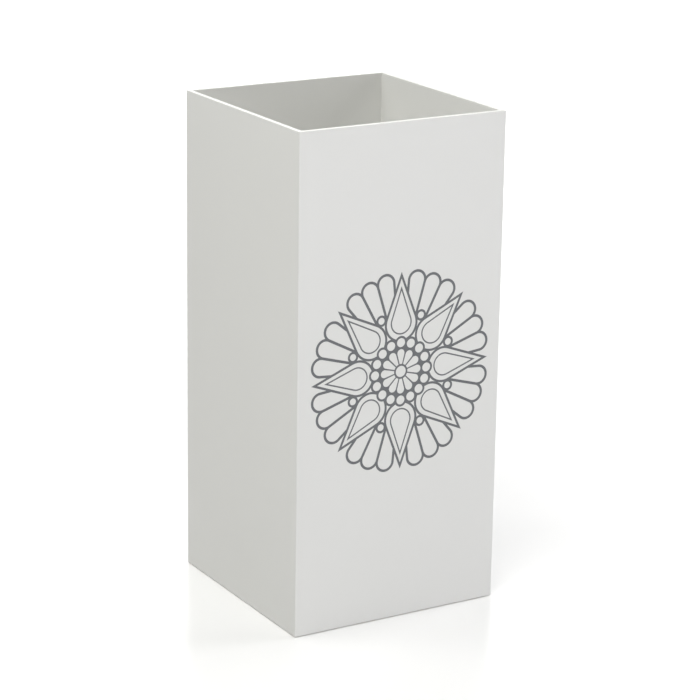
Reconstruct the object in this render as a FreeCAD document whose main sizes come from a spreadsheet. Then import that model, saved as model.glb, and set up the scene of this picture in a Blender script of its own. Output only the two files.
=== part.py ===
"""Square umbrella stand in white-lacquered board, in millimetres.

Four wall panels meet in mitred corners.  Four cleats, a base board on top of them and eight brads close the
bottom, four felt feet carry the stand, and a moulded drip tray lies loose on the base board and lifts out
through the open top.  +Z is up, the printed front faces -Y, and the origin is on the floor under the centre.
"""

import FreeCAD, Part

import math
import os

import Sketcher
from FreeCAD import Placement, Rotation, Vector

OUT_FOLDER = "parts"

DIMENSIONS = [  # name of the cell, value, what it is
    ("side", 228.0, "outer width and depth of the box"),
    ("stand_height", 500.0, "from the floor to the rim"),
    ("wall", 5.0, "thickness of the wall panels"),
    ("arris", 0.7, "rounding of the upright outer corners"),
    ("rim_round", 0.5, "rounding of the outer top and bottom edges"),
    ("inner_round", 0.4, "rounding of the inner top edge"),
    ("foot_thickness", 3.0, "thickness of a felt foot"),
    ("foot_reach", 0.6, "how far the feet stand below the walls"),
    ("foot_diameter", 18.0, "diameter of a felt foot"),
    ("foot_inset", 10.5, "foot centre from the inner wall faces"),
    ("foot_round", 0.5, "rounding of a foot's lower edge"),
    ("cleat_width", 20.0, "width of a cleat, seen from below"),
    ("cleat_height", 9.0, "height of a cleat"),
    ("base_thickness", 5.0, "thickness of the base board"),
    ("base_gap", 0.5, "gap between the base board and each wall"),
    ("brad_pitch", 130.0, "distance between the two brads of one side"),
    ("brad_length", 12.0, "length of a brad with its head"),
    ("brad_diameter", 1.2, "diameter of a brad's shank"),
    ("brad_point", 2.0, "length of a brad's point"),
    ("head_diameter", 2.2, "diameter of a brad's head"),
    ("head_height", 0.6, "height of a brad's head"),
    ("tray_side", 196.0, "outer width and depth of the tray at its floor"),
    ("tray_height", 26.0, "height of the tray without its tabs"),
    ("tray_wall", 1.6, "thickness of the tray"),
    ("tray_corner", 14.0, "corner radius of the tray at its floor"),
    ("tray_draft", 8.0, "lean of the tray's walls, in degrees"),
    ("tray_lip", 212.0, "outer width and depth of the tray's lip"),
    ("tray_cove", 3.0, "rounding inside the tray, round its floor"),
    ("lip_round", 0.5, "rounding of the edges of the lip and the tabs"),
    ("rib_length", 150.0, "length of a floor rib"),
    ("rib_width", 3.0, "width of a floor rib"),
    ("rib_height", 2.5, "height of a floor rib"),
    ("rib_round", 0.8, "rounding of a rib's upper edges"),
    ("rib_pitch", 26.0, "distance from rib to rib"),
    ("tab_width", 40.0, "width of a lifting tab"),
    ("tab_height", 13.0, "height of a lifting tab above the lip"),
    ("tab_corner", 6.0, "corner radius of a lifting tab"),
]
RIB_COUNT = 6
SIDES = {"front": 0, "right": 90, "back": 180, "left": 270}  # degrees about +Z from the front

# Measures that several sub-parts share, as expressions of the sheet's cells.
HALF = "dims.side / 2"
INNER = "(dims.side / 2 - dims.wall)"
CLEAT_INNER = "(dims.side / 2 - dims.wall - dims.cleat_width)"
CLEAT_MIDDLE = "(dims.side / 2 - dims.wall - dims.cleat_width / 2)"
CLEAT_TOP = "(dims.foot_thickness + dims.cleat_height)"
BASE_TOP = "(dims.foot_thickness + dims.cleat_height + dims.base_thickness)"
TRAY_FLOOR = f"({BASE_TOP} + dims.tray_wall)"
TRAY_TOP = f"({BASE_TOP} + dims.tray_height)"
HALF_PITCH = "dims.brad_pitch / 2"

START, END, CENTRE = 1, 2, 3  # how a constraint names the points of a curve
ORIGIN = -1  # how a constraint names the origin of its sketch
UP = Vector(0, 0, 1)

doc = FreeCAD.newDocument("umbrella_stand")
sheet = doc.addObject("Spreadsheet::Sheet", "dims")


def fill_sheet():
    """Writes every driving dimension into the sheet, one row each."""
    for row, (alias, number, meaning) in enumerate(DIMENSIONS, start=1):
        sheet.set(f"A{row}", meaning)
        sheet.set(f"B{row}", str(number))
        sheet.setAlias(f"B{row}", alias)
    doc.recompute()


def value(expression):
    """What an expression of the sheet's cells comes to at present."""
    return float(sheet.evalExpression(expression))


# ---------------------------------------------------------------- bodies and sketches


def new_body(label, turn=0):
    """An empty body, turned about +Z by that many degrees."""
    body = doc.addObject("PartDesign::Body", label)
    body.Label = label
    body.AllowCompound = True
    body.Placement = Placement(Vector(), Rotation(UP, turn))
    return body


def origin_feature(body, role):
    """One of the body's own origin planes or axes."""
    return next(item for item in body.Origin.OriginFeatures if item.Role == role)


def new_sketch(body, name, role="XY_Plane", lift=None):
    """A sketch on one of the body's origin planes, moved along its normal by an expression."""
    sketch = body.newObject("Sketcher::SketchObject", name)
    sketch.AttachmentSupport = [(origin_feature(body, role), "")]
    sketch.MapMode = "FlatFace"
    if lift:
        sketch.setExpression("AttachmentOffset.Base.z", lift)
    return sketch


def drive(sketch, name, expression, kind, *where):
    """Adds one dimension to a sketch and binds it to an expression."""
    index = sketch.addConstraint(Sketcher.Constraint(kind, *where, value(expression)))
    sketch.renameConstraint(index, name)
    sketch.setExpression(f"Constraints.{name}", expression)


def place(sketch, name, curve, point, x, y):
    """Holds a point of a curve at (x, y), two expressions that may come to less than nothing."""
    for kind, distance in (("DistanceX", x), ("DistanceY", y)):
        label = f"{name}_{kind}"
        if value(distance) < 0:
            drive(sketch, label, f"-({distance})", kind, curve, point, ORIGIN, START)
        else:
            drive(sketch, label, distance, kind, ORIGIN, START, curve, point)


def circle(sketch, name, x, y, diameter):
    """A circle about (x, y)."""
    ring = Part.Circle(Vector(value(x), value(y), 0), UP, value(diameter) / 2)
    curve = sketch.addGeometry(ring)
    place(sketch, name, curve, CENTRE, x, y)
    drive(sketch, f"{name}_diameter", diameter, "Diameter", curve)


def arc_between(start, end, radius):
    """The counter-clockwise arc of that radius, shorter than half a turn, from start to end."""
    chord = end - start
    inward = Vector(-chord.y, chord.x, 0).normalize()
    centre = start + chord / 2 + inward * math.sqrt(radius**2 - (chord.Length / 2) ** 2)
    angles = [math.atan2(point.y - centre.y, point.x - centre.x) for point in (start, end)]
    return Part.ArcOfCircle(Part.Circle(centre, UP, radius), *angles)


def outline(sketch, corners, arcs=()):
    """A closed counter-clockwise outline through corners given as pairs of expressions.

    Sides are straight.  arcs maps a corner's number to the radius of the arc that starts there instead.
    """
    arcs = dict(arcs)
    points = [Vector(value(x), value(y), 0) for x, y in corners]
    curves = []
    for number, (start, end) in enumerate(zip(points, points[1:] + points[:1])):
        if number in arcs:
            side = arc_between(start, end, value(arcs[number]))
        else:
            side = Part.LineSegment(start, end)
        curves.append(sketch.addGeometry(side))
    for curve, following in zip(curves, curves[1:] + curves[:1]):
        sketch.addConstraint(Sketcher.Constraint("Coincident", curve, END, following, START))
    for number, (x, y) in enumerate(corners):
        place(sketch, f"corner_{number}", curves[number], START, x, y)
    for number, radius in arcs.items():
        drive(sketch, f"radius_{number}", radius, "Radius", curves[number])
    return curves


def rectangle(sketch, west, east, south, north, corner=None):
    """A rectangle between four expressions, with round corners where corner is given."""
    if not corner:
        outline(sketch, [(west, south), (east, south), (east, north), (west, north)])
        return
    west_in, east_in = f"{west} + {corner}", f"{east} - {corner}"
    south_in, north_in = f"{south} + {corner}", f"{north} - {corner}"
    corners = [
        (west_in, south),
        (east_in, south),
        (east, south_in),
        (east, north_in),
        (east_in, north),
        (west_in, north),
        (west, north_in),
        (west, south_in),
    ]
    outline(sketch, corners, {number: corner for number in (1, 3, 5, 7)})


def centred_square(sketch, width, corner=None):
    """A square about the origin."""
    low, high = f"-({width}) / 2", f"({width}) / 2"
    rectangle(sketch, low, high, low, high, corner)


# ---------------------------------------------------------------- features


def pad(body, name, sketch, length, draft=None, other_way=False):
    """Raises a sketch by an expression, with walls that lean outwards where draft is given."""
    feature = body.newObject("PartDesign::Pad", name)
    feature.Profile = sketch
    feature.setExpression("Length", length)
    feature.Reversed = other_way
    if draft:
        feature.setExpression("TaperAngle", draft)
    doc.recompute()
    return feature


def pocket(body, name, sketch, depth, draft=None):
    """Cuts a sketch into the body from above, and stops the build if nothing was removed."""
    before = body.Shape.Volume
    feature = body.newObject("PartDesign::Pocket", name)
    feature.Profile = sketch
    feature.setExpression("Length", depth)
    if draft:
        feature.setExpression("TaperAngle", draft)
    doc.recompute()
    if feature.Shape.Volume >= before:
        raise RuntimeError(f"{body.Label}: {name} removes nothing")
    return feature


def on_all_sides(body, name, features):
    """Repeats features of the front side on the other three sides."""
    pattern = body.newObject("PartDesign::PolarPattern", name)
    pattern.Originals = features
    pattern.Axis = (origin_feature(body, "Z_Axis"), [""])
    pattern.Angle = 360
    pattern.Occurrences = len(SIDES)
    body.Tip = pattern
    doc.recompute()


def fillet(body, name, radius, chosen):
    """Rounds those edges of the body's last feature for which chosen(edge) is true."""
    base = body.Tip
    edges = [f"Edge{i}" for i, edge in enumerate(base.Shape.Edges, start=1) if chosen(edge)]
    if not edges:
        raise RuntimeError(f"{body.Label}: {name} finds no edge")
    feature = body.newObject("PartDesign::Fillet", name)
    feature.Base = (base, edges)
    feature.setExpression("Radius", radius)
    doc.recompute()
    return feature


def lies_at(edge, height):
    """True if the whole edge lies at a height given as an expression."""
    box = edge.BoundBox
    return max(abs(box.ZMin - value(height)), abs(box.ZMax - value(height))) < 0.01


def is_mitre(edge):
    """True for a straight edge that runs at 45 degrees in plan."""
    if edge.Curve.TypeId != "Part::GeomLine":
        return False
    direction = edge.Curve.Direction
    return abs(abs(direction.x) - abs(direction.y)) < 0.01 and abs(direction.x) > 0.5


# ---------------------------------------------------------------- the sub-parts


def wall_panel(side_name, turn):
    """A wall of full height, mitred at both ends, drawn as the front wall and turned into place.

    At each end its plan carries half of the box's rounded corner, as far as the mitre.
    """
    body = new_body(f"{side_name}_panel", turn)
    sketch = new_sketch(body, f"{side_name}_plan", lift="dims.foot_reach")
    flat = f"({HALF} - dims.arris)"
    on_mitre = f"({HALF} - dims.arris + dims.arris * cos(45))"
    corners = [
        (f"-{flat}", f"-{HALF}"),
        (flat, f"-{HALF}"),
        (on_mitre, f"-{on_mitre}"),
        (INNER, f"-{INNER}"),
        (f"-{INNER}", f"-{INNER}"),
        (f"-{on_mitre}", f"-{on_mitre}"),
    ]
    outline(sketch, corners, {1: "dims.arris", 5: "dims.arris"})
    pad(body, f"{side_name}_board", sketch, "dims.stand_height - dims.foot_reach")
    middle = -value(f"{HALF} - dims.wall / 2")

    def inner(edge):
        return lies_at(edge, "dims.stand_height") and not is_mitre(edge) and edge.CenterOfMass.y > middle

    def outer(edge):
        at_an_end = lies_at(edge, "dims.stand_height") or lies_at(edge, "dims.foot_reach")
        return at_an_end and not is_mitre(edge) and edge.CenterOfMass.y < middle

    fillet(body, f"{side_name}_rim_inside", "dims.inner_round", inner)
    fillet(body, f"{side_name}_rim_outside", "dims.rim_round", outer)
    return body


def cleat(side_name, turn, length):
    """A strip of board glued along the foot of a wall, with blind holes for two brads."""
    body = new_body(f"{side_name}_cleat", turn)
    sketch = new_sketch(body, f"{side_name}_cleat_plan", lift="dims.foot_thickness")
    rectangle(sketch, f"-({length}) / 2", f"({length}) / 2", f"-{INNER}", f"-{CLEAT_INNER}")
    pad(body, f"{side_name}_cleat_strip", sketch, "dims.cleat_height")
    holes = new_sketch(body, f"{side_name}_cleat_holes", lift=CLEAT_TOP)
    circle(holes, "left", f"-{HALF_PITCH}", f"-{CLEAT_MIDDLE}", "dims.brad_diameter")
    circle(holes, "right", HALF_PITCH, f"-{CLEAT_MIDDLE}", "dims.brad_diameter")
    pocket(body, f"{side_name}_cleat_bores", holes, "dims.brad_length - dims.base_thickness")
    return body


def base_board():
    """The square board on the cleats, with eight holes whose mouths take the brads' heads."""
    body = new_body("base_board")
    sketch = new_sketch(body, "base_plan", lift=CLEAT_TOP)
    centred_square(sketch, f"2 * ({INNER} - dims.base_gap)")
    pad(body, "base_sheet", sketch, "dims.base_thickness")
    bores = []
    for name, diameter, depth in (
        ("shank", "dims.brad_diameter", "dims.base_thickness"),
        ("head", "dims.head_diameter", "dims.head_height"),
    ):
        holes = new_sketch(body, f"base_{name}_holes", lift=BASE_TOP)
        circle(holes, "left", f"-{HALF_PITCH}", f"-{CLEAT_MIDDLE}", diameter)
        circle(holes, "right", HALF_PITCH, f"-{CLEAT_MIDDLE}", diameter)
        bores.append(pocket(body, f"base_{name}_bores", holes, depth))
    on_all_sides(body, "base_holes", bores)
    return body


def brads():
    """Eight brads driven through the base board into the cleats, as separate solids of one body."""
    body = new_body("base_brads")
    neck = f"({BASE_TOP} - dims.head_height)"
    tip = f"({BASE_TOP} - dims.brad_length)"
    shoulder = f"({tip} + dims.brad_point)"
    turned = []
    for name, axis in (("left", f"-{HALF_PITCH}"), ("right", HALF_PITCH)):
        head = f"{axis} + dims.head_diameter / 2"
        shank = f"{axis} + dims.brad_diameter / 2"
        profile = new_sketch(body, f"{name}_brad_profile", role="XZ_Plane", lift=CLEAT_MIDDLE)
        corners = [
            (axis, tip),
            (shank, shoulder),
            (shank, neck),
            (head, neck),
            (head, BASE_TOP),
            (axis, BASE_TOP),
        ]
        centre_line = outline(profile, corners)[-1]
        brad = body.newObject("PartDesign::Revolution", f"{name}_brad")
        brad.Profile = profile
        brad.ReferenceAxis = (profile, [f"Edge{centre_line + 1}"])
        brad.Angle = 360
        doc.recompute()
        turned.append(brad)
    on_all_sides(body, "all_brads", turned)
    return body


def felt_foot(name, x_sign, y_sign):
    """A round felt foot, stuck under the corner where two cleats meet."""
    body = new_body(f"felt_foot_{name}")
    sketch = new_sketch(body, f"foot_plan_{name}")
    middle = f"({INNER} - dims.foot_inset)"
    circle(sketch, "foot", f"{x_sign} * {middle}", f"{y_sign} * {middle}", "dims.foot_diameter")
    pad(body, f"foot_disc_{name}", sketch, "dims.foot_thickness")
    fillet(body, f"foot_edge_{name}", "dims.foot_round", lambda edge: lies_at(edge, "0"))
    return body


def drip_tray():
    """A thin tray with leaning walls, a flat lip, two lifting tabs and ribs on its floor."""
    body = new_body("drip_tray")
    block = new_sketch(body, "tray_block_plan", lift=BASE_TOP)
    centred_square(block, "dims.tray_side", "dims.tray_corner")
    pad(body, "tray_block", block, "dims.tray_height", draft="dims.tray_draft")
    lip = new_sketch(body, "tray_lip_plan", lift=f"{TRAY_TOP} - dims.tray_wall")
    centred_square(lip, "dims.tray_lip", "(dims.tray_corner + (dims.tray_lip - dims.tray_side) / 2)")
    pad(body, "tray_lip", lip, "dims.tray_wall")
    mouth = new_sketch(body, "tray_mouth_plan", lift=TRAY_TOP)
    spread = "tan(dims.tray_draft) * dims.tray_height - dims.tray_wall"
    centred_square(mouth, f"dims.tray_side + 2 * ({spread})", f"(dims.tray_corner + {spread})")
    hollow_depth = "dims.tray_height - dims.tray_wall"
    pocket(body, "tray_hollow", mouth, hollow_depth, draft="-dims.tray_draft")
    fillet(body, "tray_cove", "dims.tray_cove", lambda edge: lies_at(edge, TRAY_FLOOR))
    heel = "dims.tray_cove + dims.tray_wall"
    fillet(body, "tray_heel", heel, lambda edge: lies_at(edge, BASE_TOP))
    round_lip(body)
    add_tabs(body)
    add_ribs(body)
    return body


def round_lip(body):
    """Rounds the lip's outer edges and the edge of the tray's mouth."""
    lip_half = value("dims.tray_lip / 2")

    def chosen(edge):
        box = edge.BoundBox
        reach = max(abs(box.XMin), abs(box.XMax), abs(box.YMin), abs(box.YMax))
        outermost = lies_at(edge, f"{TRAY_TOP} - dims.tray_wall") and reach > lip_half - 0.01
        return lies_at(edge, TRAY_TOP) or outermost

    fillet(body, "lip_edges", "dims.lip_round", chosen)


def add_tabs(body):
    """Two upright tabs on the lip, at the left and the right, to lift the tray by."""
    plane = "dims.tray_lip / 2 - dims.lip_round"
    sketch = new_sketch(body, "tab_outline", role="YZ_Plane", lift=plane)
    east, root = "dims.tab_width / 2", f"{TRAY_TOP} - dims.tray_wall / 2"
    crest = f"{TRAY_TOP} + dims.tab_height"
    east_in, crest_in = f"({east} - dims.tab_corner)", f"{crest} - dims.tab_corner"
    corners = [
        (f"-{east}", root),
        (east, root),
        (east, crest_in),
        (east_in, crest),
        (f"-{east_in}", crest),
        (f"-{east}", crest_in),
    ]
    outline(sketch, corners, {2: "dims.tab_corner", 4: "dims.tab_corner"})
    tab = pad(body, "right_tab", sketch, "dims.tray_wall", other_way=True)
    pair = body.newObject("PartDesign::Mirrored", "tabs")
    pair.Originals = [tab]
    pair.MirrorPlane = (origin_feature(body, "YZ_Plane"), [""])
    body.Tip = pair
    doc.recompute()
    above_lip = value(TRAY_TOP) + 0.1
    fillet(body, "tab_edges", "dims.lip_round", lambda edge: edge.BoundBox.ZMax > above_lip)


def add_ribs(body):
    """Low ribs across the tray's floor, which keep umbrella tips out of the water."""
    sketch = new_sketch(body, "rib_plan", lift=TRAY_FLOOR)
    east, north = "dims.rib_length / 2", "dims.rib_width / 2"
    row_length = f"dims.rib_pitch * {RIB_COUNT - 1}"
    first = f"{row_length} / 2"
    rectangle(sketch, f"-{east}", east, f"-({first} + {north})", f"-({first} - {north})")
    rib = pad(body, "first_rib", sketch, "dims.rib_height")
    row = body.newObject("PartDesign::LinearPattern", "ribs")
    row.Originals = [rib]
    row.Direction = (origin_feature(body, "Y_Axis"), [""])
    row.setExpression("Length", row_length)
    row.Occurrences = RIB_COUNT
    body.Tip = row
    doc.recompute()
    crown = f"{TRAY_FLOOR} + dims.rib_height"
    fillet(body, "rib_edges", "dims.rib_round", lambda edge: lies_at(edge, crown))


# ---------------------------------------------------------------- the whole stand


def build():
    """Makes every sub-part and returns their bodies."""
    fill_sheet()
    full_length = f"2 * {INNER}"
    cleat_lengths = {
        "front": full_length,
        "back": full_length,
        "left": f"{full_length} - 2 * dims.cleat_width",
        "right": f"{full_length} - 2 * dims.cleat_width",
    }
    bodies = [wall_panel(name, turn) for name, turn in SIDES.items()]
    bodies += [cleat(name, turn, cleat_lengths[name]) for name, turn in SIDES.items()]
    bodies += [base_board(), brads()]
    for y_name, y_sign in (("front", -1), ("back", 1)):
        for x_name, x_sign in (("left", -1), ("right", 1)):
            bodies.append(felt_foot(f"{y_name}_{x_name}", x_sign, y_sign))
    bodies.append(drip_tray())
    return bodies


def check(bodies):
    """Stops the build if a feature failed or a sub-part has no valid solid."""
    for item in doc.Objects:
        if "Invalid" in item.State or "Error" in item.State:
            raise RuntimeError(f"{item.Label} failed: {item.State}")
    for body in bodies:
        shape = body.Shape
        if shape.isNull() or not shape.isValid() or not shape.Solids:
            raise RuntimeError(f"{body.Label} has no valid solid")


def export(bodies):
    """Writes one STEP file for each sub-part."""
    os.makedirs(OUT_FOLDER, exist_ok=True)
    for body in bodies:
        body.Shape.exportStep(os.path.join(OUT_FOLDER, f"{body.Label}.step"))
        box = body.Shape.BoundBox
        print(
            f"{body.Label}: {len(body.Shape.Solids)} solid(s), {body.Shape.Volume:.0f} mm3, "
            f"z {box.ZMin:.2f} to {box.ZMax:.2f}"
        )


stand = build()
doc.recompute()
check(stand)
export(stand)
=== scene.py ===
"""Looks of the umbrella stand: lacquered box, printed rosette, felt feet, drip tray and studio."""

import math
import random
from typing import NamedTuple

import bmesh
import bpy
from mathutils import Matrix, Vector
from mathutils.geometry import delaunay_2d_cdt


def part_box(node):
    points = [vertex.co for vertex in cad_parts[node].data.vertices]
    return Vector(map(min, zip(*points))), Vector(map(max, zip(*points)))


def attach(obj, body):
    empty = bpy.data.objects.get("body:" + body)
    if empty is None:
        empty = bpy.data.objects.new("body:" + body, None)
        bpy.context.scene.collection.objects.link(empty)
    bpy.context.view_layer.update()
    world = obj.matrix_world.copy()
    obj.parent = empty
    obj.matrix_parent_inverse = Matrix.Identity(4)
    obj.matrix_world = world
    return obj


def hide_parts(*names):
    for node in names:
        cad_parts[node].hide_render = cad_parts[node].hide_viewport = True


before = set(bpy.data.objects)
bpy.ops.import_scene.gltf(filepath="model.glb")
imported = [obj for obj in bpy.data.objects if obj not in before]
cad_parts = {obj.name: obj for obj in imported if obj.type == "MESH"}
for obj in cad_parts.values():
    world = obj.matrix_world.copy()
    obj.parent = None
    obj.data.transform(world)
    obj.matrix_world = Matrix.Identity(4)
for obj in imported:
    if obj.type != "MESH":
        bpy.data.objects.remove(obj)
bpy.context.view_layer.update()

MM = 0.001
WHITE = (1.0, 1.0, 1.0)
OPAQUE = 1.0  # the fourth number of a colour socket
INNER_FACE = -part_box("left_panel")[1].x  # from the middle of the box to the inside of its walls

# ---------------------------------------------------------------- shader helpers


def new_material(name):
    """An empty node material: returns it with its tree and its Principled shader."""
    material = bpy.data.materials.new(name)
    material.use_nodes = True
    tree = material.node_tree
    tree.nodes.clear()
    output = tree.nodes.new("ShaderNodeOutputMaterial")
    shader = tree.nodes.new("ShaderNodeBsdfPrincipled")
    tree.links.new(shader.outputs["BSDF"], output.inputs["Surface"])
    return material, tree, shader


def add(tree, kind, inputs=None, **settings):
    """Adds a node, with inputs that are values or sockets of other nodes."""
    node = tree.nodes.new(kind)
    for name, setting in settings.items():
        setattr(node, name, setting)
    for name, source in (inputs or {}).items():
        if isinstance(source, bpy.types.NodeSocket):
            tree.links.new(source, node.inputs[name])
        else:
            node.inputs[name].default_value = source
    return node


def connect(tree, shader, sockets):
    """Links sockets to the shader's inputs of those names."""
    for name, socket in sockets.items():
        tree.links.new(socket, shader.inputs[name])


def place_of(tree):
    """The position in the stand's own frame, in metres."""
    return add(tree, "ShaderNodeTexCoord").outputs["Object"]


def split(tree, vector):
    """The three components of a vector."""
    parts = add(tree, "ShaderNodeSeparateXYZ", {"Vector": vector})
    return [parts.outputs[axis] for axis in "XYZ"]


def upward(tree):
    """How far the surface faces up: 1 for a level top, 0 for a wall, -1 for an underside."""
    _, _, z = split(tree, add(tree, "ShaderNodeTexCoord").outputs["Normal"])
    return z


def maths(tree, operation, first, second=0.0):
    """One arithmetic step on two sockets or values."""
    return add(tree, "ShaderNodeMath", {0: first, 1: second}, operation=operation).outputs["Value"]


def ramp(tree, source, low, high, to_low=0.0, to_high=1.0):
    """Maps low..high of the source onto to_low..to_high, without going beyond."""
    inputs = {"Value": source, "From Min": low, "From Max": high, "To Min": to_low, "To Max": to_high}
    return add(tree, "ShaderNodeMapRange", inputs).outputs["Result"]


def noise(tree, period, detail=3.0, roughness=0.5, vector=None):
    """Noise of 0 to 1 whose features are about period metres apart."""
    inputs = {"Vector": vector or place_of(tree), "Scale": 1.0 / period}
    inputs.update({"Detail": detail, "Roughness": roughness})
    return add(tree, "ShaderNodeTexNoise", inputs).outputs["Fac"]


def upright_streaks(tree, length, width):
    """Noise drawn out along the upright into streaks of about that length and width."""
    slow_z = (1.0, 1.0, width / length)
    inputs = {0: place_of(tree), 1: slow_z}
    vector = add(tree, "ShaderNodeVectorMath", inputs, operation="MULTIPLY").outputs["Vector"]
    return noise(tree, width, detail=2.0, vector=vector)


def specks(tree, period, radius):
    """1 in the middle of round specks of that radius, about period metres apart, 0 between them."""
    cells = add(tree, "ShaderNodeTexVoronoi", {"Vector": place_of(tree), "Scale": 1.0 / period})
    return ramp(tree, cells.outputs["Distance"], 0.0, radius / period, 1.0, 0.0)


def mix_colour(tree, factor, first, second):
    """Blends two colours, given as sockets or RGB triples, by a socket."""
    node = add(tree, "ShaderNodeMix", {"Factor": factor}, data_type="RGBA")
    for name, colour in (("A", first), ("B", second)):
        socket = next(s for s in node.inputs if s.name == name and s.type == "RGBA")
        if isinstance(colour, bpy.types.NodeSocket):
            tree.links.new(colour, socket)
        else:
            socket.default_value = (*colour, OPAQUE)
    return next(s for s in node.outputs if s.type == "RGBA")


def relief(tree, *layers):
    """Bumps on top of each other, each given as a height of 0 to 1 and what 1 is in metres."""
    normal = None
    for height, distance in layers:
        inputs = {"Height": height, "Distance": distance}
        if normal is not None:
            inputs["Normal"] = normal
        normal = add(tree, "ShaderNodeBump", inputs).outputs["Normal"]
    return normal


# ---------------------------------------------------------------- materials

# Colours are linear RGB.  A pair is the two colours that a surface varies between.
LACQUER = ((0.795, 0.795, 0.772), (0.805, 0.805, 0.782))
BOARD_FIBRES = ((0.33, 0.215, 0.12), (0.47, 0.325, 0.19))
BOARD_CLOUDS = (0.31, 0.20, 0.11)
OVERSPRAY = (0.76, 0.75, 0.72)
STEEL = (0.57, 0.57, 0.56)
STEEL_SCALE = (0.40, 0.40, 0.41)
WOOL = ((0.50, 0.48, 0.43), (0.70, 0.68, 0.63))
WOOL_TUFTS = (0.42, 0.39, 0.34)
TRAY_GREY = ((0.43, 0.445, 0.445), (0.47, 0.485, 0.485))
INK_GREY = ((0.140, 0.147, 0.154), (0.155, 0.162, 0.169))

# Roughness.  A pair is what the surface has where its pattern is weak and where it is strong.
SATIN = (0.34, 0.42)
DRY_SPRAY_ADDS = 0.22
BOARD_ROUGHNESS = (0.85, 0.58)  # raw, sprayed
WIRE_ROUGHNESS = (0.24, 0.42)
TRAY_ROUGHNESS = (0.52, 0.36)  # moulded, rubbed
INK_ROUGHNESS = (0.48, 0.58)

NOISE_RANGE = (0.3, 0.7)  # nearly all of a noise lies between these
NOISE_MIDDLE = 0.5
UNDERSIDE = (-0.9, -0.5)  # how far up it faces: surely an underside, surely none

DRY_BELOW = 0.30  # metres up inside the box, below which the spray landed dry
WET_ABOVE = 0.46  # metres up inside the box, above which it landed wet and flowed out smooth


def fibreboard(tree):
    """The colour and the height of raw fibreboard: felted fibres in a slightly clouded sheet."""
    fibres = noise(tree, 0.5 * MM, detail=6.0, roughness=0.65)
    clouds = ramp(tree, noise(tree, 14 * MM), 0.35, 0.65, 0.0, 0.4)
    colour = mix_colour(tree, fibres, *BOARD_FIBRES)
    return mix_colour(tree, clouds, colour, BOARD_CLOUDS), fibres


def dry_spray(tree):
    """1 deep inside the box, where the spray landed dry, 0 near the rim and outside."""
    x, y, z = split(tree, place_of(tree))
    out = maths(tree, "MAXIMUM", maths(tree, "ABSOLUTE", x), maths(tree, "ABSOLUTE", y))
    inside = maths(tree, "LESS_THAN", out, INNER_FACE + 1 * MM)
    return maths(tree, "MULTIPLY", inside, ramp(tree, z, DRY_BELOW, WET_ABOVE, 1.0, 0.0))


def lacquer():
    """White satin lacquer: orange peel and dust nibs, dry deep inside, patchy on the lower edges."""
    material, tree, shader = new_material("white_lacquer")
    board, fibres = fibreboard(tree)
    underneath = ramp(tree, upward(tree), *UNDERSIDE, 1.0, 0.0)
    missed = ramp(tree, noise(tree, 7 * MM, detail=4.0), 0.50, 0.64)
    bare = maths(tree, "MULTIPLY", underneath, missed)
    coat = mix_colour(tree, noise(tree, 90 * MM, detail=2.0), *LACQUER)

    dry = dry_spray(tree)
    satin = ramp(tree, noise(tree, 20 * MM), *NOISE_RANGE, *SATIN)
    roughness = maths(tree, "ADD", satin, maths(tree, "MULTIPLY", dry, DRY_SPRAY_ADDS))

    waves = noise(tree, 30 * MM, detail=1.0)
    orange_peel = noise(tree, 1.6 * MM, detail=1.5, roughness=0.4)
    nibs = specks(tree, 12 * MM, 0.45 * MM)
    grain = maths(tree, "MULTIPLY", noise(tree, 0.35 * MM), dry)
    raised_fibres = maths(tree, "MULTIPLY", fibres, underneath)
    normal = relief(
        tree,
        (waves, 0.12 * MM),
        (orange_peel, 0.012 * MM),
        (nibs, 0.03 * MM),
        (grain, 0.05 * MM),
        (raised_fibres, 0.08 * MM),
    )
    colour = mix_colour(tree, bare, coat, board)
    connect(tree, shader, {"Base Color": colour, "Roughness": roughness, "Normal": normal})
    shader.inputs["Specular IOR Level"].default_value = 0.35
    return material


def sprayed_board(name, above, below):
    """Raw fibreboard with white overspray on those shares of its top and of its underside."""
    patchiness = 0.9  # how much the cover drifts from place to place
    crispness = 4.0  # how sharply the droplets of the mist end
    material, tree, shader = new_material(name)
    board, fibres = fibreboard(tree)
    mist = noise(tree, 1.1 * MM, detail=8.0, roughness=0.75)
    drift = maths(tree, "SUBTRACT", noise(tree, 35 * MM, detail=2.0), NOISE_MIDDLE)
    share = ramp(tree, upward(tree), -1.0, 1.0, below, above)
    cover = maths(tree, "ADD", share, maths(tree, "MULTIPLY", drift, patchiness))
    droplets = maths(tree, "MULTIPLY", maths(tree, "SUBTRACT", cover, mist), crispness)
    sprayed = ramp(tree, maths(tree, "ADD", droplets, NOISE_MIDDLE), 0.0, 1.0)

    colour = mix_colour(tree, sprayed, board, OVERSPRAY)
    roughness = ramp(tree, sprayed, 0.0, 1.0, *BOARD_ROUGHNESS)
    normal = relief(tree, (fibres, 0.10 * MM), (mist, 0.03 * MM))
    connect(tree, shader, {"Base Color": colour, "Roughness": roughness, "Normal": normal})
    return material


def brad_wire():
    """Bright steel wire with the fine lines of its drawing and a little grey scale."""
    material, tree, shader = new_material("brad_steel")
    lines = upright_streaks(tree, 6 * MM, 0.08 * MM)
    scale = ramp(tree, noise(tree, 0.7 * MM, detail=4.0), 0.45, 0.7)
    colour = mix_colour(tree, scale, STEEL, STEEL_SCALE)
    roughness = ramp(tree, lines, *NOISE_RANGE, *WIRE_ROUGHNESS)
    normal = relief(tree, (lines, 0.006 * MM))
    connect(tree, shader, {"Base Color": colour, "Roughness": roughness, "Normal": normal})
    shader.inputs["Metallic"].default_value = 1.0
    return material


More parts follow.
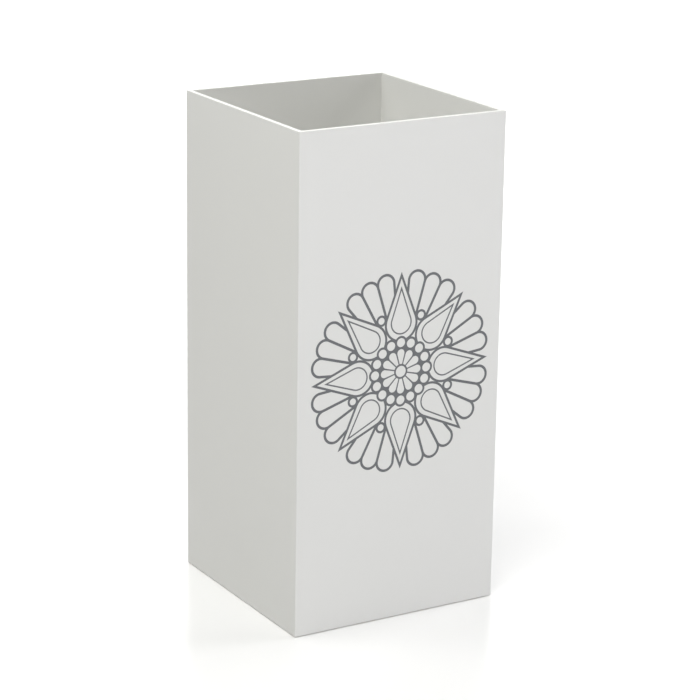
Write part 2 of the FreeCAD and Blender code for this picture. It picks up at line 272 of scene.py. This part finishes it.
def felt():
    """Pressed wool felt, off-white: matted fibres, a little darker where they bunch into tufts."""
    material, tree, shader = new_material("felt")
    matted = noise(tree, 0.30 * MM, detail=7.0, roughness=0.7)
    tufts = noise(tree, 1.8 * MM, detail=3.0)
    colour = mix_colour(tree, matted, *WOOL)
    colour = mix_colour(tree, ramp(tree, tufts, 0.55, 0.75, 0.0, 0.3), colour, WOOL_TUFTS)
    normal = relief(tree, (tufts, 0.25 * MM), (matted, 0.15 * MM))
    connect(tree, shader, {"Base Color": colour, "Normal": normal})
    shader.inputs["Roughness"].default_value = 0.95
    shader.inputs["Sheen Weight"].default_value = 0.3
    return material


def tray_plastic():
    """Light grey polypropylene: a fine matt mould texture with faint flow marks and rubbed spots."""
    material, tree, shader = new_material("tray_plastic")
    flow = noise(tree, 45 * MM, detail=2.0)
    rubbed = ramp(tree, noise(tree, 9 * MM, detail=6.0, roughness=0.7), 0.56, 0.68)
    texture = noise(tree, 0.22 * MM, detail=2.0)
    colour = mix_colour(tree, flow, *TRAY_GREY)
    roughness = ramp(tree, rubbed, 0.0, 1.0, *TRAY_ROUGHNESS)
    normal = relief(tree, (flow, 0.10 * MM), (texture, 0.012 * MM))
    connect(tree, shader, {"Base Color": colour, "Roughness": roughness, "Normal": normal})
    return material


def print_ink():
    """Grey screen-printed ink: matt, slightly uneven in density, with the grain of the screen."""
    material, tree, shader = new_material("print_ink")
    density = noise(tree, 4 * MM, detail=4.0)
    screen = noise(tree, 0.4 * MM, detail=1.0)
    colour = mix_colour(tree, density, *INK_GREY)
    roughness = ramp(tree, density, *NOISE_RANGE, *INK_ROUGHNESS)
    normal = relief(tree, (screen, 0.006 * MM))
    connect(tree, shader, {"Base Color": colour, "Roughness": roughness, "Normal": normal})
    return material


# ---------------------------------------------------------------- objects


def put_in_scene(name, data):
    """A new object of that name in the scene, which holds the data."""
    made = bpy.data.objects.new(name, data)
    bpy.context.scene.collection.objects.link(made)
    return made


def mesh_object(name, mesh, material):
    """Turns the mesh into an object of that name and material."""
    data = bpy.data.meshes.new(name)
    mesh.to_mesh(data)
    mesh.free()
    data.materials.append(material)
    return put_in_scene(name, data)


def finish_piece(name, mesh, material):
    """Turns the mesh into an object that belongs to the stand."""
    piece = mesh_object(name, mesh, material)
    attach(piece, "stand")
    return piece


def put_on(node_name, material):
    """Gives a CAD node its material."""
    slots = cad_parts[node_name].data.materials
    for number in range(len(slots)):
        slots[number] = material


# ---------------------------------------------------------------- the printed rosette

# Lengths of the rosette are in millimetres, from its centre.  An outline is a list of points
# (across, out) in the frame of its own axis, which points outwards.
ARC_STEP = 5.0  # degrees between points on an arc
CENTRE = Vector((0, 0))
FOLDS = 8
HALF_FOLD = 180 / FOLDS  # degrees
RAY_SPREAD = 11.5  # degrees between the three rays of a fan
DAISY_PETALS = 12
RAY_LINE, PETAL_LINE, RING_LINE, EYE_LINE, FINE_LINE = 2.6, 2.3, 2.2, 1.9, 1.4  # widths

ROSETTE_AT = Vector((0.0006, 0.2545))  # across and up on the front, in metres
ROSETTE_TURN = 0.7  # degrees, counter-clockwise as seen from in front
INK_PROUD = 0.05 * MM  # how far the ink stands off the lacquer
INK_SUNK = 0.02 * MM  # how far the back of its film lies in it

FILL_OUTLINES = 1  # the triangulation's mode that keeps the insides of all outlines
WELD = 1e-5  # points nearer than this are one


def disc(head, radius):
    """A circle centred that far out."""
    count = round(360 / ARC_STEP)
    angles = [math.tau * i / count for i in range(count)]
    return [Vector((radius * math.cos(a), head + radius * math.sin(a))) for a in angles]


def drop(point, head, radius):
    """A drop: straight sides from a point to a round head, both given by their distance out."""
    lean = math.degrees(math.asin(radius / (head - point)))
    steps = round((180 + 2 * lean) / ARC_STEP)
    angles = [math.radians(-lean + (180 + 2 * lean) * i / steps) for i in range(steps + 1)]
    arc = [Vector((radius * math.cos(a), head + radius * math.sin(a))) for a in angles]
    return [Vector((0, point)), *arc]


def petal(head, radius, tip):
    """A drop the other way round: it stands on its round end and points outwards."""
    return turned(drop(2 * head - tip, head, radius), 180, Vector((0, head)))


def outset(outline, distance):
    """The outline moved outwards by that distance, with sharp corners kept sharp."""
    moved = []
    for before, here, after in zip(outline[-1:] + outline[:-1], outline, outline[1:] + outline[:1]):
        entering, leaving = (here - before).normalized(), (after - here).normalized()
        normal = Vector((entering.y + leaving.y, -entering.x - leaving.x)).normalized()
        stretch = normal.dot(Vector((entering.y, -entering.x)))
        moved.append(here + normal * (distance / stretch))
    return moved


def turned(outline, degrees, about=CENTRE):
    """The outline turned clockwise about a point."""
    turn = Matrix.Rotation(-math.radians(degrees), 2)
    return [about + turn @ (point - about) for point in outline]


def all_round(outline, first=0.0, folds=FOLDS):
    """Copies of the outline all round the centre, one to each fold."""
    return [turned(outline, first + 360 / folds * fold) for fold in range(folds)]


class Artwork:
    """Outlines laid over each other: a point is inked or bare as the last outline over it says."""

    def __init__(self):
        self.layers = []

    def ink(self, outlines):
        """Inked shapes."""
        self.layers.extend((outline, True) for outline in outlines)

    def bare(self, outlines):
        """Shapes without ink."""
        self.layers.extend((outline, False) for outline in outlines)

    def lined(self, outlines, width):
        """Bare shapes, each with a line of that width around it."""
        self.ink(outset(outline, width) for outline in outlines)
        self.bare(outlines)


def draw_rosette():
    """A plain compass rosette: fans of rays, eight pointed petals, rings of beads, and a daisy."""
    rosette = Artwork()
    ray = drop(point=13.0, head=91.0, radius=7.8)
    fan = (HALF_FOLD - RAY_SPREAD, HALF_FOLD, HALF_FOLD + RAY_SPREAD)
    rosette.lined([copy for angle in fan for copy in all_round(ray, angle)], RAY_LINE)
    rosette.lined(all_round(disc(head=58.0, radius=3.4), HALF_FOLD), PETAL_LINE)

    rosette.lined(all_round(petal(head=48.0, radius=16.1, tip=93.0)), PETAL_LINE)
    rosette.lined(all_round(petal(head=49.0, radius=10.4, tip=81.0)), FINE_LINE)

    rosette.ink([disc(head=0.0, radius=29.0)])
    for first in (0.0, HALF_FOLD):
        rosette.lined(all_round(disc(head=29.0, radius=4.5), first), RING_LINE)
    rosette.bare(all_round(drop(point=2.0, head=18.4, radius=4.0), folds=DAISY_PETALS))
    rosette.lined([disc(head=0.0, radius=5.6)], EYE_LINE)
    return rosette.layers


def film(points, triangles, surface_y):
    """A thin closed film of ink on the front, over those triangles of points (across, up)."""
    used = sorted({index for triangle in triangles for index in triangle})
    mesh = bmesh.new()
    front = {i: mesh.verts.new((points[i].x, surface_y - INK_PROUD, points[i].y)) for i in used}
    back = {i: mesh.verts.new((points[i].x, surface_y + INK_SUNK, points[i].y)) for i in used}
    edges = set()
    for triangle in triangles:
        mesh.faces.new([front[i] for i in triangle])
        mesh.faces.new([back[i] for i in reversed(triangle)])
        edges.update(zip(triangle, triangle[1:] + triangle[:1]))
    for start, end in sorted(edges):
        if (end, start) not in edges:
            mesh.faces.new((front[end], front[start], back[start], back[end]))
    return mesh


def print_rosette():
    """The printed rosette: one film of ink on the front panel."""
    layers = draw_rosette()
    corners, loops = [], []
    for outline, _ in layers:
        loops.append(list(range(len(corners), len(corners) + len(outline))))
        corners.extend(outline)
    points, _, faces, _, _, owners = delaunay_2d_cdt(corners, [], loops, FILL_OUTLINES, WELD)
    inked = [list(face) for face, over in zip(faces, owners) if over and layers[max(over)][1]]
    turn = Matrix.Rotation(math.radians(ROSETTE_TURN), 2)
    places = [ROSETTE_AT + turn @ Vector(point) * MM for point in points]
    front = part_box("front_panel")[0].y
    piece = finish_piece("rosette_print", film(places, inked, front), print_ink())


# ---------------------------------------------------------------- felt feet

SEED = 41
UP = Vector((0, 0, 1))

PAD_SEGMENTS = 72
PAD_ROUGHNESS = 0.05 * MM  # how far its surface wanders in and out
PAD_PROFILE = (  # shares of the radius and of the thickness, from the middle below to the middle above
    (0.45, 0.0), (0.80, 0.0), (0.935, 0.0), (0.972, 0.05), (0.990, 0.18), (0.994, 0.40),
    (0.992, 0.62), (0.984, 0.84), (0.965, 0.97), (0.93, 1.0), (0.5, 1.0),
)

FIBRES = 150  # loose fibres round each pad
FIBRE_RADIUS = 0.022 * MM
FIBRE_SIDES = 3
FIBRE_ROOT = 0.15 * MM  # how deep in the pad it starts
FIBRE_HEIGHT = (0.15, 0.85)  # share of the thickness
FIBRE_SWEEP = (0.04, 0.13)  # radians along the edge of the pad
FIBRE_REACH = (0.15, 0.45)  # millimetres off the edge
FIBRE_RISE = (-0.12, 0.12)  # share of the thickness, from one end to the other
FIBRE_ARCH = 2.2  # radians of a sine wave: it bows out, and its free end comes part of the way back
FIBRE_STEPS = 4


def around(centre, radius, angle, height):
    """The point at that angle and radius about the upright through the centre."""
    return Vector((centre.x + radius * math.cos(angle), centre.y + radius * math.sin(angle), height))


def ring(mesh, centre, radius, height, wobble, dice):
    """A level ring of vertices, each moved in or out by up to wobble."""
    vertices = []
    for step in range(PAD_SEGMENTS):
        reach = radius + dice.uniform(-wobble, wobble)
        vertices.append(mesh.verts.new(around(centre, reach, math.tau * step / PAD_SEGMENTS, height)))
    return vertices


def bridge(mesh, below, above):
    """A band of faces between two rings, seen from outside."""
    for step in range(len(below)):
        following = (step + 1) % len(below)
        mesh.faces.new((below[step], below[following], above[following], above[step]))


def skin(mesh, rings):
    """A closed skin over rings of vertices that follow each other."""
    for below, above in zip(rings, rings[1:]):
        bridge(mesh, below, above)
    mesh.faces.new(list(reversed(rings[0])))
    mesh.faces.new(rings[-1])


def add_pad(mesh, centre, radius, thickness, dice):
    """The pad itself: punched from felt, squeezed so that its edge bulges, rough all round."""
    rings = []
    for wide, high in PAD_PROFILE:
        wobble = PAD_ROUGHNESS if high > 0 else 0.0
        reach = radius * wide - PAD_ROUGHNESS
        rings.append(ring(mesh, centre, reach, thickness * high, wobble, dice))
    skin(mesh, rings)


def add_fibre(mesh, centre, radius, thickness, dice):
    """One loose fibre: it leaves the edge of the pad, bends along it and ends free."""
    angle = dice.uniform(0.0, math.tau)
    height = dice.uniform(*FIBRE_HEIGHT) * thickness
    sweep = dice.choice((-1, 1)) * dice.uniform(*FIBRE_SWEEP)
    stand_off = dice.uniform(*FIBRE_REACH) * MM
    rise = dice.uniform(*FIBRE_RISE) * thickness
    path = []
    for step in range(FIBRE_STEPS + 1):
        share = step / FIBRE_STEPS
        reach = radius - FIBRE_ROOT + stand_off * math.sin(share * FIBRE_ARCH)
        path.append(around(centre, reach, angle + sweep * share, height + rise * share))
    skin(mesh, [cross_section(mesh, path, number) for number in range(len(path))])


def cross_section(mesh, path, number):
    """The vertices of a fibre round one point of its path."""
    before, after = path[max(number - 1, 0)], path[min(number + 1, len(path) - 1)]
    along = (after - before).normalized()
    side = along.cross(UP).normalized()
    up = side.cross(along)
    vertices = []
    for corner in range(FIBRE_SIDES):
        turn = math.tau * corner / FIBRE_SIDES
        spoke = side * math.cos(turn) + up * math.sin(turn)
        vertices.append(mesh.verts.new(path[number] + spoke * FIBRE_RADIUS))
    return vertices


def felt_pad(corner, material, dice):
    """The pad under one corner, in place of the plain disc of its node."""
    node = f"felt_foot_{corner}"
    low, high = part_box(node)
    centre = (low + high) / 2
    radius, thickness = (high.x - low.x) / 2, high.z - low.z
    mesh = bmesh.new()
    add_pad(mesh, centre, radius, thickness, dice)
    for _ in range(FIBRES):
        add_fibre(mesh, centre, radius, thickness, dice)
    bmesh.ops.recalc_face_normals(mesh, faces=mesh.faces)
    piece = finish_piece(f"felt_pad_{corner}", mesh, material)
    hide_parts(node)


# ---------------------------------------------------------------- studio

LENS = 129.8  # millimetres
SENSOR = 36.0  # millimetres
CLIP_END = 50.0  # metres
CAMERA_AT = Vector((-1.2335, -2.0865, 0.9716))  # metres
CAMERA_TURN = 30.82  # degrees, from +Y towards +X
CAMERA_TILT = 16.665  # degrees, downwards
CAMERA_ROLL = 0.887  # degrees, to the left

FLOOR_HALF = 15.0  # metres from its middle to its edges
FLOOR_TONES = ((0.94, 0.94, 0.94), (0.95, 0.95, 0.95))
FLOOR_PATCHES = 0.4  # metres
GLOW_FROM, GLOW_TO = 0.5, 2.5  # metres from the stand, between which the floor's glow grows
GLOW_NEAR, GLOW_FAR = 0.05, 0.9  # strength of the glow at those distances

WARM_WHITE = (1.0, 1.0, 0.97)
COOL_WHITE = (0.93, 0.93, 1.0)


class Softbox(NamedTuple):
    """A soft rectangular light that faces a target."""

    name: str
    place: tuple  # metres, as are the next two
    target: tuple
    size: tuple  # width and height
    power: float  # watts
    colour: tuple = WHITE


# What the three soft boxes up on the left have in common.
UPPER_LEFT = {"target": (0.0, 0.0, 0.4), "size": (1.0, 1.0), "colour": WARM_WHITE}

# Bright walls behind and to the right, soft boxes up on the left, and a low strip in front.
SOFTBOXES = (
    Softbox("wall_behind", place=(1.5, 5.6, 2.3), target=(0.0, 0.0, 0.6), size=(9.0, 4.4), power=217.0),
    Softbox("wall_right", place=(3.0, -0.4, 1.6), target=(0.0, 0.0, 0.2), size=(2.4, 2.0), power=71.0),
    Softbox("upper_left_front", place=(-0.95, -0.9, 2.0), power=24.0, **UPPER_LEFT),
    Softbox("upper_left_middle", place=(-0.95, 0.2, 2.2), power=12.5, **UPPER_LEFT),
    Softbox("upper_left_back", place=(-0.95, 0.9, 2.0), power=7.5, **UPPER_LEFT),
    Softbox(
        "low_front",
        place=(0.3, -1.6, 0.2),
        target=(0.1, 0.0, 0.1),
        size=(2.0, 0.3),
        power=7.0,
        colour=COOL_WHITE,
    ),
)


def camera():
    """The camera, up in front and to the left of the stand, looking down at it."""
    data = bpy.data.cameras.new("camera")
    data.lens = LENS
    data.sensor_width = SENSOR
    data.clip_end = CLIP_END
    turn = Matrix.Rotation(-math.radians(CAMERA_TURN), 4, "Z")
    tilt = Matrix.Rotation(math.radians(90 - CAMERA_TILT), 4, "X")
    roll = Matrix.Rotation(math.radians(CAMERA_ROLL), 4, "Z")
    eye = put_in_scene("camera", data)
    eye.matrix_world = Matrix.Translation(CAMERA_AT) @ turn @ tilt @ roll
    bpy.context.scene.camera = eye


def studio_floor():
    """Smooth and pale; glows white far out, for the camera alone; see-through from below."""
    material, tree, shader = new_material("studio_floor")
    tone = mix_colour(tree, noise(tree, FLOOR_PATCHES), *FLOOR_TONES)
    far = add(tree, "ShaderNodeVectorMath", {0: place_of(tree)}, operation="LENGTH").outputs["Value"]
    seen = add(tree, "ShaderNodeLightPath").outputs["Is Camera Ray"]
    glow = maths(tree, "MULTIPLY", seen, ramp(tree, far, GLOW_FROM, GLOW_TO, GLOW_NEAR, GLOW_FAR))
    connect(tree, shader, {"Base Color": tone, "Emission Strength": glow})
    shader.inputs["Roughness"].default_value = 0.2
    shader.inputs["Emission Color"].default_value = (*WHITE, OPAQUE)

    from_below = add(tree, "ShaderNodeNewGeometry").outputs["Backfacing"]
    clear = add(tree, "ShaderNodeBsdfTransparent").outputs["BSDF"]
    both = add(tree, "ShaderNodeMixShader", {0: from_below, 1: shader.outputs["BSDF"], 2: clear})
    output = next(node for node in tree.nodes if node.bl_idname == "ShaderNodeOutputMaterial")
    tree.links.new(both.outputs["Shader"], output.inputs["Surface"])
    return material


def floor():
    """A plain pale floor, wide enough to fill every view."""
    mesh = bmesh.new()
    signs = ((-1, -1), (1, -1), (1, 1), (-1, 1))
    mesh.faces.new([mesh.verts.new((x * FLOOR_HALF, y * FLOOR_HALF, 0)) for x, y in signs])
    ground = mesh_object("floor", mesh, studio_floor())


def background_glow():
    """A background that the camera sees as white and that lights nothing."""
    surroundings = bpy.data.worlds.new("studio")
    bpy.context.scene.world = surroundings
    surroundings.use_nodes = True
    tree = surroundings.node_tree
    background = tree.nodes["Background"]
    background.inputs["Color"].default_value = (*WHITE, OPAQUE)
    seen = add(tree, "ShaderNodeLightPath").outputs["Is Camera Ray"]
    tree.links.new(seen, background.inputs["Strength"])


def area_light(softbox):
    """Puts the soft box in the scene, where the camera doesn't see it."""
    data = bpy.data.lights.new(softbox.name, "AREA")
    data.shape = "RECTANGLE"
    data.size, data.size_y = softbox.size
    data.energy = softbox.power
    data.color = softbox.colour
    light = put_in_scene(softbox.name, data)
    light.visible_camera = False
    light.location = softbox.place
    facing = Vector(softbox.target) - Vector(softbox.place)
    light.rotation_euler = facing.to_track_quat("-Z", "Y").to_euler()


def studio():
    """A white room with soft light, its colours shown as they are."""
    floor()
    background_glow()
    for softbox in SOFTBOXES:
        area_light(softbox)
    bpy.context.scene.view_settings.view_transform = "Standard"


# ---------------------------------------------------------------- making it

camera()
studio()

white = lacquer()
sawn = sprayed_board("cleat_board", above=0.15, below=0.5)
for side in ("front", "right", "back", "left"):
    put_on(f"{side}_panel", white)
    put_on(f"{side}_cleat", sawn)
put_on("base_board", sprayed_board("base_board", above=0.85, below=0.25))
put_on("base_brads", brad_wire())
put_on("drip_tray", tray_plastic())

wool = felt()
pad_dice = random.Random(SEED)
for corner in ("front_left", "front_right", "back_left", "back_right"):
    felt_pad(corner, wool, pad_dice)
print_rosette()
